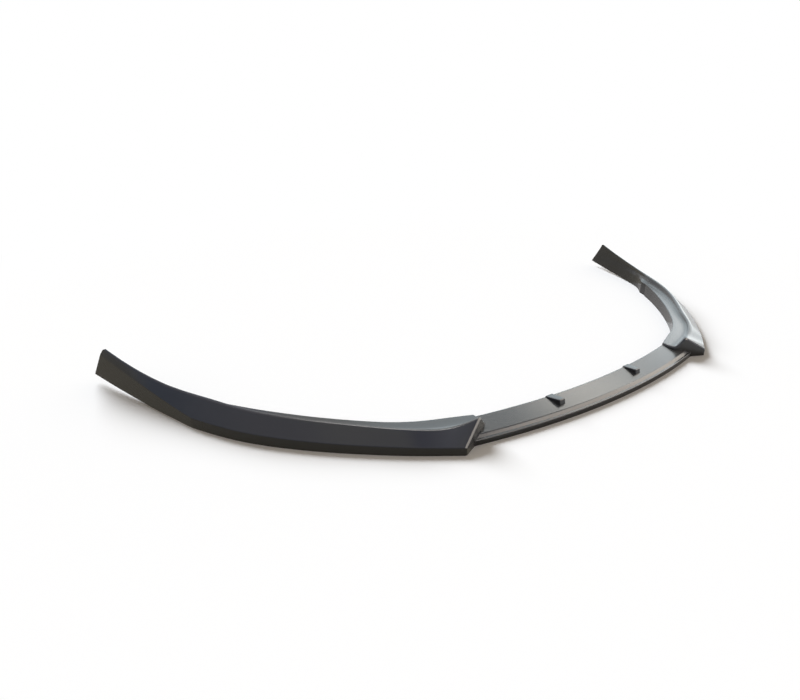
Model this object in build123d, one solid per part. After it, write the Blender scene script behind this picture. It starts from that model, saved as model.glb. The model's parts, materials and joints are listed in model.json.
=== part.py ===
from build123d import *
import os
from dataclasses import dataclass
from math import asin, atan2, cos, degrees, dist, hypot, radians, sin, sqrt, tan

# Front splitter lip, moulded in one piece with an open underside.
# Millimetres. X runs across the car, -Y is the car's front, Z is up, and the part is symmetric about X = 0.
# Heights are above the floor, and plan depths run back from the centre blade's front face.

# Moulded wall
WALL = 4.0

# Centre blade, which is bowed in plan
BLADE_BOW_RADIUS = 1800.0
BLADE_DEPTH = 64.5
BLADE_LIP_HEIGHT = 12.0
BLADE_LIP_ROUND = 2.0
BLADE_LEDGE_RUN = 5.0
BLADE_LEDGE_ROUND = 1.5
BLADE_SHOULDER_RUN = 6.0
BLADE_SHOULDER_RISE = 5.5
BLADE_SHOULDER_ROUND = 6.0
BLADE_REAR_HEIGHT = 26.0
BLADE_REAR_ROUND = 4.0
BLADE_INTO_CORNER = 16.0

# Fins on the blade
FIN_INNER_X = 122.0
FIN_FRONT_WIDTH = 16.0
FIN_REAR_WIDTH = 22.5
FIN_FRONT_DEPTH = 33.0
FIN_FRONT_HEIGHT = 31.0
FIN_REAR_HEIGHT = 27.5
FIN_FRONT_RAKE = 4.5
FIN_REAR_SETBACK = 1.0
FIN_ROUND = 2.5

# Joint between the blade and a corner: the end wall stands on a slanted line in plan
JOINT_LIP_X = 408.0
JOINT_LIP_DEPTH = 25.0
JOINT_WALL_ANGLE = 155.7
JOINT_VALLEY_IN = 90.0
JOINT_RIM_ROUND = 3.4
JOINT_RIM_ANGLES = (0, 30, 60, 90)
JOINT_RIM_LEAST = 0.4
PEAK_IN = 62.0
PEAK_HEIGHT = 51.0

# Lip line in plan: a wide arc, a tighter arc round the corner, then the straight wing
LIP_HEADING = 33.0
FRONT_ARC_RADIUS = 1450.0
FRONT_ARC_TURN = 13.0
SIDE_ARC_RADIUS = 650.0
SIDE_ARC_TURN = 19.7
WING_HEADING = 71.5
WING_LENGTH = 362.0

# Corner section, from the lip's face inwards
LIP_JOINT_HEIGHT = 17.0
LIP_SHOULDER_HEIGHT = 23.0
FACE_RUN = 35.0
SHOULDER_FACE_RUN = 32.0
INNER_WALL_RUN = 12.0
FLANGE_RUN = 22.0
SWEEP_LENGTH = 75.0
SWEEP_EXTRA_FLANGE = 11.0
RIDGE_LOW_HEIGHT = 37.0
RIDGE_SHOULDER_HEIGHT = 57.5
CREASE_ROUND = 3.0
RIDGE_LAND = 3.0
RIDGE_ROUND = 4.0
CORNER_REACH = 0.45
KNEE_RUN_SHARE = 0.6
KNEE_RISE_SHARE = 0.3
TOE_RUN_SHARE = 0.4
TOE_DROP_SHARE = 0.2

# Flange, a flat plane that climbs a little towards the wing
FLANGE_JOINT_HEIGHT = 29.5
FLANGE_CLIMB = 0.033
FLANGE_END_SHARE = 0.785
FLANGE_EDGE_ROUND = 2.0
FLANGE_ROOT = 5.0

# Wing, which thins to an upright plate with a raked end
WING_STATION_SHARES = (0.12, 0.25, 0.45, 0.7, 1.0)
WING_FACE_TAPER = 3.0
WING_FOOT_TAPER = 5.0
WING_LIP_POWER = 1.25
WING_RIDGE_POWER = 1.75
WING_LIFT_POWER = 2.0
WING_HOLLOW_SHARE = 0.24
TIP_FACE_RUN = 6.0
TIP_KNEE = (6.0, 70.0)
TIP_TOE = (7.5, 32.0)
TIP_HEEL_IN = 7.0
TIP_LIP_HEIGHT = 90.0
TIP_RIDGE_HEIGHT = 108.5
TIP_LIFT = 20.0
TIP_TOP_SETBACK = 55.0
TIP_TOP_HEIGHT = 96.0
TIP_ROUND = 8.0

# How far the cutting bodies run past what they cut
OVERCUT = 20.0
FAR = 2000.0


def toward(angle):
    """Unit vector in plan at an angle in degrees."""
    return Vector(cos(radians(angle)), sin(radians(angle)))


@dataclass
class Station:
    """One section of the corner or wing, on a vertical plane that crosses the lip line.

    Each corner of the section is a pair: how far in from the lip's face, and how high.
    """

    lip_point: Vector
    inward: Vector
    lift: float
    lip: float
    ridge: tuple
    knee: tuple
    toe: tuple
    heel_in: float

    def plane(self):
        return Plane(origin=self.lip_point, x_dir=self.inward, z_dir=self.inward.cross(Vector(0, 0, 1)))

    def plan(self, run):
        return self.lip_point + self.inward * run

    def outline(self, land=0):
        """Corners from the lip's foot over the ridge to the heel; a land splits the ridge in two."""
        ridge_in, height = self.ridge
        top = [self.ridge]
        if land:
            top = [(ridge_in - land / 2, height), (ridge_in + land / 2, height)]
        return [(0, self.lift), (0, self.lip), *top, self.knee, self.toe, (self.heel_in, self.lift)]

    def rounds(self, gap=0):
        """Radii of the crease, the ridge's two corners and the knee, drawn in by a gap."""
        corners = self.outline(RIDGE_LAND)
        ridge = [min(RIDGE_ROUND, reach_round(*corners[i : i + 3])) for i in (1, 2)]
        convex = [max(radius - gap, JOINT_RIM_LEAST) for radius in (CREASE_ROUND, *ridge)]
        return [0, *convex, reach_round(*corners[3:6]) + gap, 0, 0]

    def outer_face(self):
        edge = FilletPolyline(*self.outline(RIDGE_LAND), radius=self.rounds(), close=True)
        return self.plane() * make_face(edge)

    def rim_face(self, gap, forward):
        """The section drawn in all round by a gap and moved forward out of its plane."""
        edge = FilletPolyline(*inset(self.outline(RIDGE_LAND), gap), radius=self.rounds(gap), close=True)
        return self.plane().offset(-forward) * make_face(edge)

    def inner_face(self):
        return self.plane() * make_face(Polyline(*inset(self.outline(), WALL), close=True))


def inset(outline, gap):
    """Corners of the hollow under an outline, with both legs carried down past its foot."""
    sides = []
    for (x0, y0), (x1, y1) in zip(outline, outline[1:]):
        length = hypot(x1 - x0, y1 - y0)
        normal = ((y1 - y0) / length, -(x1 - x0) / length)
        sides.append((normal, normal[0] * x0 + normal[1] * y0 + gap))
    foot = ((0.0, -1.0), OVERCUT)
    corners = []
    for (n0, d0), (n1, d1) in zip([foot, *sides], [*sides, foot]):
        det = n0[0] * n1[1] - n0[1] * n1[0]
        corners.append(((d0 * n1[1] - d1 * n0[1]) / det, (n0[0] * d1 - n1[0] * d0) / det))
    return corners


def reach_round(before, corner, after):
    """Radius that rounds a corner off over a share of its shorter side."""
    heading_in = atan2(corner[1] - before[1], corner[0] - before[0])
    heading_out = atan2(after[1] - corner[1], after[0] - corner[0])
    shorter = min(dist(before, corner), dist(corner, after))
    return CORNER_REACH * shorter / tan(abs(heading_out - heading_in) / 2)


def blade_bow(depth, x):
    """Plan depth of a blade line at x, for the line that crosses the middle at this depth."""
    radius = BLADE_BOW_RADIUS - depth
    return BLADE_BOW_RADIUS - sqrt(radius**2 - x**2)


def flange_height(point):
    return FLANGE_JOINT_HEIGHT + FLANGE_CLIMB * (point.Y - flange_corner.Y)


# Lip line of the right-hand corner and wing
joint_lip = Vector(JOINT_LIP_X, JOINT_LIP_DEPTH)
front_arc = JernArc(joint_lip, toward(LIP_HEADING), FRONT_ARC_RADIUS, FRONT_ARC_TURN)
side_arc = JernArc(front_arc @ 1, front_arc % 1, SIDE_ARC_RADIUS, SIDE_ARC_TURN)
shoulder = side_arc @ 1
tip = shoulder + toward(WING_HEADING) * WING_LENGTH
corner_length = front_arc.length + side_arc.length

# Corners of the joint in plan
joint_inward = toward(JOINT_WALL_ANGLE)
valley = joint_lip + joint_inward * JOINT_VALLEY_IN
flange_corner = Vector(valley.X, blade_bow(BLADE_DEPTH, valley.X))


def blend(start, end, share):
    return start + (end - start) * share


def inward_of(tangent):
    return Vector(-tangent.Y, tangent.X)


def wall_corners(ridge_in, ridge_height, valley_in, valley_height):
    """Knee and toe of the inner wall, which sweeps down to the flange and ends just under it."""
    run = valley_in - ridge_in
    rise = ridge_height - valley_height
    knee = (ridge_in + KNEE_RUN_SHARE * run, valley_height + KNEE_RISE_SHARE * rise)
    toe = (valley_in + TOE_RUN_SHARE * run, valley_height - TOE_DROP_SHARE * rise)
    return knee, toe


def corner_station(distance):
    """Section of the corner at a distance along the lip line from the joint."""
    face_run = FACE_RUN
    if distance <= front_arc.length:
        arc, share = front_arc, distance / front_arc.length
    else:
        arc, share = side_arc, (distance - front_arc.length) / side_arc.length
        face_run = blend(FACE_RUN, SHOULDER_FACE_RUN, share)
    lip_point = arc @ share
    inward = inward_of(arc % share)
    climb = (distance - SWEEP_LENGTH) / (corner_length - SWEEP_LENGTH)
    ridge = (face_run, blend(RIDGE_LOW_HEIGHT, RIDGE_SHOULDER_HEIGHT, climb))
    valley_in = FACE_RUN + INNER_WALL_RUN
    knee, toe = wall_corners(*ridge, valley_in, flange_height(lip_point + inward * valley_in))
    lip = blend(LIP_JOINT_HEIGHT, LIP_SHOULDER_HEIGHT, distance / corner_length)
    return Station(lip_point, inward, 0.0, lip, ridge, knee, toe, toe[0])


def joint_station():
    ridge = (PEAK_IN, PEAK_HEIGHT)
    toe = (JOINT_VALLEY_IN, flange_height(valley))
    knee, _ = wall_corners(*ridge, *toe)
    return Station(joint_lip, joint_inward, 0.0, LIP_JOINT_HEIGHT, ridge, knee, toe, toe[0])


def wing_station(share):
    """Section of the wing at a share of its length, eased from the shoulder's section to the tip's."""
    root = shoulder_station
    taper = 1 - (1 - share) ** WING_FOOT_TAPER
    face_run = blend(SHOULDER_FACE_RUN, TIP_FACE_RUN, 1 - (1 - share) ** WING_FACE_TAPER)
    ridge_height = blend(RIDGE_SHOULDER_HEIGHT, TIP_RIDGE_HEIGHT, share**WING_RIDGE_POWER)
    return Station(
        lip_point=shoulder + (tip - shoulder) * share,
        inward=inward_of(toward(WING_HEADING)),
        lift=blend(0, TIP_LIFT, share**WING_LIFT_POWER),
        lip=blend(LIP_SHOULDER_HEIGHT, TIP_LIP_HEIGHT, share**WING_LIP_POWER),
        ridge=(face_run, ridge_height),
        knee=(blend(root.knee[0], TIP_KNEE[0], taper), blend(root.knee[1], TIP_KNEE[1], share)),
        toe=(blend(root.toe[0], TIP_TOE[0], taper), blend(root.toe[1], TIP_TOE[1], share)),
        heel_in=blend(root.heel_in, TIP_HEEL_IN, taper),
    )


corner_stations = [joint_station()]
for distance in (
    SWEEP_LENGTH,
    blend(SWEEP_LENGTH, front_arc.length, 0.5),
    front_arc.length,
    blend(front_arc.length, corner_length, 0.5),
    corner_length,
):
    corner_stations.append(corner_station(distance))

shoulder_station = corner_stations[-1]
wing_stations = [shoulder_station] + [wing_station(share) for share in WING_STATION_SHARES]
hollow_shares = (WING_HOLLOW_SHARE / 2, WING_HOLLOW_SHARE)
hollow_wing_stations = [shoulder_station] + [wing_station(share) for share in hollow_shares]


def blade_outline():
    ledge_end = (BLADE_LEDGE_RUN, BLADE_LIP_HEIGHT)
    shoulder_top = (BLADE_LEDGE_RUN + BLADE_SHOULDER_RUN, BLADE_LIP_HEIGHT + BLADE_SHOULDER_RISE)
    lip_top = (0, BLADE_LIP_HEIGHT)
    return [(0, 0), lip_top, ledge_end, shoulder_top, (BLADE_DEPTH, BLADE_REAR_HEIGHT), (BLADE_DEPTH, 0)]


def bowed(section):
    """Blade section swung about the centre of its bow, into both end walls."""
    axis = Axis((0, BLADE_BOW_RADIUS, 0), (0, 0, 1))
    half_angle = degrees(asin((JOINT_LIP_X - BLADE_INTO_CORNER) / BLADE_BOW_RADIUS))
    start = (Plane.YZ * section).rotate(axis, -half_angle)
    return revolve(start, axis, 2 * half_angle)


def make_blade():
    rounds = [0, BLADE_LIP_ROUND, BLADE_LEDGE_ROUND, BLADE_SHOULDER_ROUND, BLADE_REAR_ROUND, 0]
    solid = bowed(make_face(FilletPolyline(*blade_outline(), radius=rounds, close=True)))
    hollow = bowed(make_face(Polyline(*inset(blade_outline(), WALL), close=True)))
    return solid, hollow


def make_fin():
    """A wedge that is tallest at its nose and spreads to the blade's rear edge."""
    nose = FIN_FRONT_DEPTH - FIN_FRONT_RAKE
    rear = blade_bow(BLADE_DEPTH, FIN_INNER_X) - FIN_REAR_SETBACK
    side = [(nose, BLADE_LIP_HEIGHT), (FIN_FRONT_DEPTH, FIN_FRONT_HEIGHT)]
    side += [(rear, FIN_REAR_HEIGHT), (rear, BLADE_LIP_HEIGHT)]
    wedge = extrude(Plane.YZ.offset(FIN_INNER_X) * make_face(Polyline(*side, close=True)), FIN_REAR_WIDTH)
    plan = [(0, nose), (FIN_FRONT_WIDTH, nose), (FIN_REAR_WIDTH, rear), (0, rear)]
    solid = wedge & Pos(FIN_INNER_X) * extrude(make_face(Polyline(*plan, close=True)), PEAK_HEIGHT)
    shown = solid.edges().filter_by_position(Axis.Z, BLADE_LIP_HEIGHT + WALL, FIN_FRONT_HEIGHT)
    solid = fillet(shown.filter_by_position(Axis.Y, nose, rear - WALL), FIN_ROUND)
    slot = make_face(Polyline(*inset(side, WALL), close=True))
    hollow = extrude(Plane.YZ.offset(FIN_INNER_X + WALL) * slot, FIN_FRONT_WIDTH - 2 * WALL)
    return solid, hollow


def end_wall_room():
    """The space behind the joint's end wall, which the hollows keep to."""
    start = joint_lip + Vector(joint_inward.Y, -joint_inward.X) * WALL
    bend = start + joint_inward * ((start.X - valley.X - WALL) / -joint_inward.X)
    corners = [start - joint_inward * FAR, bend, (bend.X, FAR), (FAR, FAR), (FAR, -FAR)]
    return Pos(0, 0, -OVERCUT) * extrude(make_face(Polyline(*corners, close=True)), FAR)


def make_corner():
    solid = loft([station.outer_face() for station in corner_stations])
    joint = corner_stations[0]
    rim = []
    for angle in JOINT_RIM_ANGLES:
        turn = radians(angle)
        rim.append(joint.rim_face(JOINT_RIM_ROUND * (1 - cos(turn)), JOINT_RIM_ROUND * sin(turn)))
    solid += split(loft(rim, ruled=True), Plane.XY, Keep.TOP)
    hollow = loft([station.inner_face() for station in corner_stations])
    return solid, hollow & end_wall_room()


def make_wing():
    solid = loft([station.outer_face() for station in wing_stations])
    hollow = loft([station.inner_face() for station in hollow_wing_stations])
    along = toward(WING_HEADING)
    side = Plane(origin=shoulder, x_dir=along, z_dir=along.cross(Vector(0, 0, 1)))
    rake = Vector(-TIP_TOP_SETBACK, TIP_TOP_HEIGHT - TIP_LIFT).normalized()
    top = Vector(WING_LENGTH - TIP_TOP_SETBACK, TIP_TOP_HEIGHT)
    foot = Vector(WING_LENGTH, TIP_LIFT) - rake * FAR
    below_top = top - rake * TIP_ROUND
    before_top = top - Vector(TIP_ROUND, 0)
    corners = [foot, below_top, before_top, before_top + Vector(0, FAR), (FAR, FAR)]
    end = FilletPolyline(*corners, radius=[0, TIP_ROUND, TIP_ROUND, 0, 0], close=True)
    cutter = extrude(side * make_face(end), FAR, both=True)
    return solid - cutter, hollow


def flange_plan(gap):
    """Plan of the flange, drawn in by a gap along its inner edge and at its far end."""
    root = [corner_stations[0].plan(PEAK_IN - FLANGE_ROOT)]
    edge = [flange_corner - Vector(0, gap)]
    end_distance = blend(front_arc.length, corner_length, FLANGE_END_SHARE) - gap
    stations = [*corner_stations[1:5], corner_station(end_distance)]
    extras = (SWEEP_EXTRA_FLANGE, 0, 0, 0, 0)
    for station, extra in zip(stations, extras):
        root.append(station.plan(FACE_RUN - FLANGE_ROOT))
        edge.append(station.plan(FACE_RUN + INNER_WALL_RUN + FLANGE_RUN + extra - gap))
    sides = [Line(valley, edge[0]), Spline(*edge), Line(edge[-1], root[-1])]
    return make_face([*sides, Spline(*reversed(root)), Line(root[0], valley)])


def make_flange():
    top = Plane(origin=(flange_corner.X, flange_corner.Y, FLANGE_JOINT_HEIGHT), z_dir=(0, -FLANGE_CLIMB, 1))
    solid = split(extrude(flange_plan(0), PEAK_HEIGHT), top, Keep.BOTTOM)
    solid = fillet(solid.faces().sort_by(Axis.Z)[-1].edges(), FLANGE_EDGE_ROUND)
    core = Pos(0, 0, -OVERCUT) * extrude(flange_plan(WALL), PEAK_HEIGHT + OVERCUT)
    hollow = split(core, top.offset(-WALL), Keep.BOTTOM)
    return solid, hollow & end_wall_room()


def both_sides(shape):
    return [shape, mirror(shape, Plane.YZ)]


body, hollow_body = make_blade()
for make_piece in (make_fin, make_corner, make_wing, make_flange):
    solid, hollow = make_piece()
    body += both_sides(solid)
    hollow_body += both_sides(hollow)

body -= hollow_body
box = body.bounding_box()
body = Pos(0, -box.center().Y, -box.min.Z) * body

os.makedirs("parts", exist_ok=True)
export_step(body, "parts/splitter_lip.step")
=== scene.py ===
import json
from math import atan2, ceil, cos, hypot, pi, radians, sin, sqrt, tan

import bmesh
import bpy
import numpy as np
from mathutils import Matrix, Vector

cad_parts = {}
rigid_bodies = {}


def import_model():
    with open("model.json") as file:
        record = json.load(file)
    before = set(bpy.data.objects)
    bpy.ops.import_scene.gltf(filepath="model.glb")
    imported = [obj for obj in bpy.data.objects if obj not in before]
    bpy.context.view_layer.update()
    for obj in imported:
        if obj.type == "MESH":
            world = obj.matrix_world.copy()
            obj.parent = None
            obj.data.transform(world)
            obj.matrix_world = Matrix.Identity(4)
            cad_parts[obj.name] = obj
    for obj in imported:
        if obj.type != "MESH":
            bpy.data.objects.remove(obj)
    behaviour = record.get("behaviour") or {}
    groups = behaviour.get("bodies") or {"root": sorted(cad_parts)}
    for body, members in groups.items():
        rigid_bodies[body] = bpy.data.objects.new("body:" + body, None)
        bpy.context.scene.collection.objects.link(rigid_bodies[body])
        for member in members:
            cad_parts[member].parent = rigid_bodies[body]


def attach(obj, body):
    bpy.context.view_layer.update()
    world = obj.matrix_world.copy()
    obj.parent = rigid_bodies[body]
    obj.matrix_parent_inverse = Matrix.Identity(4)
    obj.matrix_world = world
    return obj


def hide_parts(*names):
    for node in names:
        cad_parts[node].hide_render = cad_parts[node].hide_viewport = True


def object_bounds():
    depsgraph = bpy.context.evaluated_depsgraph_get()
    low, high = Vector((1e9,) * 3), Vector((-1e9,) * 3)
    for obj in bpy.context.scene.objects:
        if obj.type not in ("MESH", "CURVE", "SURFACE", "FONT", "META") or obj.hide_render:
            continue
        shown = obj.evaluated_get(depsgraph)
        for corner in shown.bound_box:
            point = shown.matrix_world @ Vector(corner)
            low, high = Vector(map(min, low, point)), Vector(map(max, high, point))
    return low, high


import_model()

bl_info = {
    "name": "Front Splitter Lip",
    "version": (1, 0, 0),
    "blender": (4, 5, 0),
    "location": "View3D > Sidebar > Splitter",
    "description": "Models a moulded front splitter lip in gloss black plastic and sets it in a white studio",
    "category": "Object",
}

CAD_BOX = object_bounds()
LIP_NODE = "splitter_lip"

MM = 0.001
UP = Vector((0, 0, 1))
WHITE = (1.0, 1.0, 1.0)
# Share of a side that a rounded corner may take
ROUND_SHARE = 0.45
# Share of the side after it that a sweep may take
SWEEP_SHARE = 0.7
# Corners flatter than this stay straight
STRAIGHT = radians(176)
# The solids run on below the floor by different depths until they are one, and the hollows run deeper still
BLADE_FOOT = -9 * MM
CORNER_FOOT = -5 * MM
HOLLOW_FOOT = -20 * MM
# Distance between the sections of a lofted piece
RING_GAP = 6 * MM
HOLLOW_GAP = 14 * MM
# Vertices nearer than this become one
WELD = 0.02 * MM
# The flange's end wall leans by this much
END_LEAN = 0.6 * MM
# The wing's raked end is cut this far inside its outline
TIP_INSET = END_LEAN / 4
# Steps in which the raked end's top corner is rounded
TIP_STEPS = 6
# Shares of the wing's length at which its section is set
WING_STATIONS = (0, 0.12, 0.25, 0.45, 0.7, 1.0)
# A section's corner that stays sharp: no radius and no steps
SHARP = (0.0, 0)
# Smallest radius that is left when a section is drawn in
LEAST_ROUND = 0.4 * MM
# A radius past any side, so that the inner wall's knee is as round as its sides allow
KNEE_ROUND = 1.0
# Steps round the bow of the blade and of its hollow, and round the corners of the blade and the fins
BLADE_STEPS = 110
HOLLOW_STEPS = 40
BLADE_TURNS = 5
FIN_TURNS = 5
# Faces that meet at a smaller angle are shaded as one
SMOOTH_ANGLE = radians(35)
PLASTIC_IOR = 1.53
NOISE_MEAN = 0.5
FLOOR_SIZE = 60.0
# The glowing sheets that paint the floor's reflection lie just above the floor
REFLECTION_SHEET_HEIGHT = 0.3 * MM
# Height of the glowing sheet overhead that paints a dusky reflection
CEILING_HEIGHT = 3.2
# Where the painted reflection overhead starts to turn from white to its colour, and where it has it, in x
CEILING_FADE = (-0.9, -0.45)
# Size of the glowing screen that paints a dark reflection round the left
CURTAIN_RADIUS = 2.6
CURTAIN_SIDES = 72
SENSOR_WIDTH = 36.0


def length(name, description, millimetres):
    """A size for the panel, given in millimetres and kept in metres."""
    return bpy.props.FloatProperty(
        name=name,
        description=description,
        default=millimetres * MM,
        subtype="DISTANCE",
        unit="LENGTH",
        min=0.0,
        precision=4,
    )


def angle(name, description, degrees):
    """An angle for the panel, given in degrees and kept in radians."""
    return bpy.props.FloatProperty(
        name=name, description=description, default=radians(degrees), subtype="ANGLE", unit="ROTATION"
    )


def share(name, description, value):
    """A plain number for the panel, such as a share, a power or a level."""
    return bpy.props.FloatProperty(name=name, description=description, default=value, min=0.0, precision=3)


def factor(name, description, value):
    """A number from 0 to 1 for the panel."""
    return bpy.props.FloatProperty(
        name=name, description=description, default=value, subtype="FACTOR", min=0.0, max=1.0
    )


def tint(name, description, value):
    """A colour for the panel; a lamp's may pass 1."""
    return bpy.props.FloatVectorProperty(
        name=name, description=description, default=value, subtype="COLOR", min=0.0, soft_max=1.0
    )


class BladeSizes(bpy.types.PropertyGroup):
    """The thin blade that joins the two corners, bowed in plan."""

    wall: length("Wall", "Thickness of the moulded wall", 4.0)
    bow_radius: length("Bow radius", "Radius of the front face in plan", 1800.0)
    half_span: length("Half span", "How far each end runs from the middle, into its corner", 392.0)
    depth: length("Depth", "From the front face to the rear edge", 64.5)
    lip_height: length("Lip height", "Height of the upright front lip", 12.0)
    lip_round: length("Lip round", "Radius along the top of the lip", 2.0)
    ledge_run: length("Ledge run", "Width of the flat ledge behind the lip", 5.0)
    ledge_round: length("Ledge round", "Radius where the ledge turns up", 1.5)
    shoulder_run: length("Shoulder run", "Width of the steep shoulder", 6.0)
    shoulder_rise: length("Shoulder rise", "Height of the steep shoulder", 5.5)
    shoulder_round: length("Shoulder round", "Radius over the shoulder", 6.0)
    rear_height: length("Rear height", "Height of the rear edge", 26.0)
    rear_round: length("Rear round", "Radius along the rear edge", 4.0)


class FinSizes(bpy.types.PropertyGroup):
    """The two wedge fins on the blade."""

    inner_x: length("Inner side", "Distance of the inner side from the middle", 122.0)
    nose_width: length("Nose width", "Width at the nose", 16.0)
    tail_width: length("Tail width", "Width at the blade's rear edge", 22.5)
    nose_depth: length("Nose depth", "Plan depth of the nose at the top", 33.0)
    nose_height: length("Nose height", "Height of the nose", 31.0)
    tail_height: length("Tail height", "Height of the tail", 27.5)
    rake: length("Nose rake", "How far the foot of the nose stands forward", 4.5)
    setback: length("Tail setback", "Gap between the tail and the blade's rear edge", 1.0)
    rounding: length("Rounding", "Radius along the top and the nose", 2.5)


class CornerSizes(bpy.types.PropertyGroup):
    """The swept corners, from the joint with the blade to the shoulder where the wing starts."""

    joint_x: length("Joint", "Distance of the joint's lip from the middle", 408.0)
    joint_depth: length("Joint depth", "Plan depth of the joint's lip", 25.0)
    wall_angle: angle("End wall angle", "Direction of the end wall in plan", 155.7)
    valley_in: length("End wall length", "From the lip to the foot of the inner wall", 90.0)
    peak_in: length("Peak", "From the lip to the peak along the end wall", 62.0)
    peak_height: length("Peak height", "Height of the peak", 51.0)
    rim: length("Rim", "Size of the bevel round the end wall", 4.2)
    lip_heading: angle("Lip heading", "Direction in which the lip line leaves the joint", 33.0)
    front_radius: length("Front radius", "Radius of the lip line's first arc", 1450.0)
    front_turn: angle("Front turn", "How far the first arc turns", 13.0)
    side_radius: length("Side radius", "Radius of the lip line's second arc", 650.0)
    side_turn: angle("Side turn", "How far the second arc turns", 19.7)
    lip_low: length("Lip at joint", "Height of the lip at the joint", 17.0)
    lip_high: length("Lip at shoulder", "Height of the lip at the shoulder", 23.0)
    face_run: length("Face run", "From the lip to the ridge", 35.0)
    shoulder_run: length("Shoulder face run", "From the lip to the ridge at the shoulder", 32.0)
    wall_run: length("Inner wall run", "From the ridge to the foot of the inner wall", 12.0)
    sweep: length("Sweep", "Distance in which the joint's section turns into the corner's", 75.0)
    ridge_low: length("Ridge low", "Height of the ridge after the sweep", 37.0)
    dip: length("Dip", "How far the ridge hangs below a straight run halfway along the sweep", 8.5)
    ridge_high: length("Ridge high", "Height of the ridge at the shoulder", 57.5)
    ridge_land: length("Ridge land", "Flat along the top of the ridge", 7.0)
    ridge_round: length("Ridge round", "Radius each side of the ridge", 12.0)
    crease_round: length("Crease round", "Radius along the top of the lip", 3.0)
    toe_round: length("Toe round", "Radius at the foot of the wing's inner wall", 1.0)
    knee_run: share("Knee run", "Place of the inner wall's bend, as a share of its run", 0.6)
    knee_rise: share("Knee rise", "Height of the inner wall's bend, as a share of its rise", 0.3)
    toe_run: share("Toe run", "How far the inner wall runs on under the flange", 0.4)
    toe_drop: share("Toe drop", "How far the inner wall ends below the flange", 0.2)


class FlangeSizes(bpy.types.PropertyGroup):
    """The flat mounting flange behind each ridge."""

    run: length("Run", "Width from the inner wall to the edge", 22.0)
    sweep_extra: length("Extra run", "Extra width at the end of the sweep", 11.0)
    height: length("Height", "Height at the joint", 29.5)
    climb: share("Climb", "Rise for each unit of depth", 0.033)
    end: share("End", "Where it ends, as a share of the second arc", 0.84)
    edge_round: length("Edge round", "Radius along the edge", 2.0)
    cove: length("Cove", "How far the inner wall sweeps out over it", 15.0)
    end_taper: length("End taper", "Distance in which it narrows to its end", 170.0)
    end_width: share("End width", "What is left of its width at the end", 0.35)


class WingSizes(bpy.types.PropertyGroup):
    """The wings, which thin from the shoulder to an upright plate with a raked end."""

    heading: angle("Heading", "Direction of the wing in plan", 71.5)
    reach: length("Length", "From the shoulder to the tip", 362.0)
    hollow: share("Hollow", "Share of the wing that is hollow", 0.24)
    face_run: length("Tip face run", "From the lip to the ridge at the tip", 6.0)
    lip_height: length("Tip lip", "Height of the crease at the tip", 90.0)
    ridge_height: length("Tip ridge", "Height of the ridge at the tip", 108.5)
    ridge_land: length("Tip ridge land", "Flat along the top of the ridge at the tip", 3.0)
    knee_run: length("Tip knee run", "From the lip to the inner wall's bend at the tip", 6.0)
    knee_height: length("Tip knee", "Height of the inner wall's bend at the tip", 70.0)
    toe_run: length("Tip toe run", "From the lip to the inner wall's toe at the tip", 7.5)
    toe_height: length("Tip toe", "Height of the inner wall's toe at the tip", 32.0)
    heel_run: length("Tip heel run", "From the lip to the heel at the tip", 7.0)
    lift: length("Tip lift", "How far the tip's foot is off the floor", 20.0)
    face_taper: share("Face taper", "How early the face narrows", 3.0)
    foot_taper: share("Foot taper", "How early the foot narrows", 5.0)
    lip_power: share("Crease easing", "How late the crease climbs", 1.25)
    ridge_power: share("Ridge easing", "How late the ridge climbs", 1.75)
    lift_power: share("Lift easing", "How late the foot lifts", 2.0)
    rake_setback: length("Rake setback", "How far the raked end's top stands back from its foot", 55.0)
    rake_height: length("Rake height", "Height of the raked end's top", 95.8)
    top_round: length("Top round", "Radius of the raked end's top corner", 10.0)


def blend(start, end, part):
    return start + (end - start) * part


def compass(turn):
    """Unit vector in plan."""
    return Vector((cos(turn), sin(turn), 0))


def plan(x, depth):
    """A point on the floor, with its depth counted from the blade's front face."""
    return Vector((x, CAD_BOX[0].y + depth, 0))


def rounded(corners, rounds):
    """A closed line through corners; each round is a radius and the steps that a corner is turned in.

    A third number makes the round a sweep, which reaches that far along the side after the corner.
    """
    points = []
    for index, (corner, (radius, steps, *sweep)) in enumerate(zip(corners, rounds)):
        if not steps:
            points.append(corner)
            continue
        to_before = corners[index - 1] - corner
        to_after = corners[(index + 1) % len(corners)] - corner
        if sweep:
            start = to_before * ROUND_SHARE
            end = to_after * min(SWEEP_SHARE, sweep[0] / to_after.length)
            parts = [step / steps for step in range(steps + 1)]
            points += [corner + start * (1 - part) ** 2 + end * part**2 for part in parts]
            continue
        half = to_before.angle(to_after) / 2
        straight = 2 * half > STRAIGHT
        reach = ROUND_SHARE * min(to_before.length, to_after.length)
        if not straight:
            reach = min(reach, radius / tan(half))
        start = to_before.normalized() * reach
        end = to_after.normalized() * reach
        if straight:
            points += [corner + start.lerp(end, step / steps) for step in range(steps + 1)]
            continue
        centre = (start + end).normalized() * (reach / cos(half))
        size = reach * tan(half)
        spokes = [(start - centre).slerp(end - centre, step / steps) for step in range(steps + 1)]
        points += [corner + centre + spoke * size for spoke in spokes]
    return points


def inset(outline, gap, foot):
    """An outline of runs and heights drawn in by a gap, with both legs standing on a foot height."""
    sides = []
    for (x0, y0), (x1, y1) in zip(outline, outline[1:]):
        size = hypot(x1 - x0, y1 - y0)
        across, along = (y1 - y0) / size, (x0 - x1) / size
        sides.append((across, along, across * x0 + along * y0 + gap))
    floor = (0.0, -1.0, -foot)
    corners = []
    for (a0, b0, d0), (a1, b1, d1) in zip([floor, *sides], [*sides, floor]):
        area = a0 * b1 - b0 * a1
        corners.append(((d0 * b1 - d1 * b0) / area, (a0 * d1 - a1 * d0) / area))
    return corners


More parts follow.
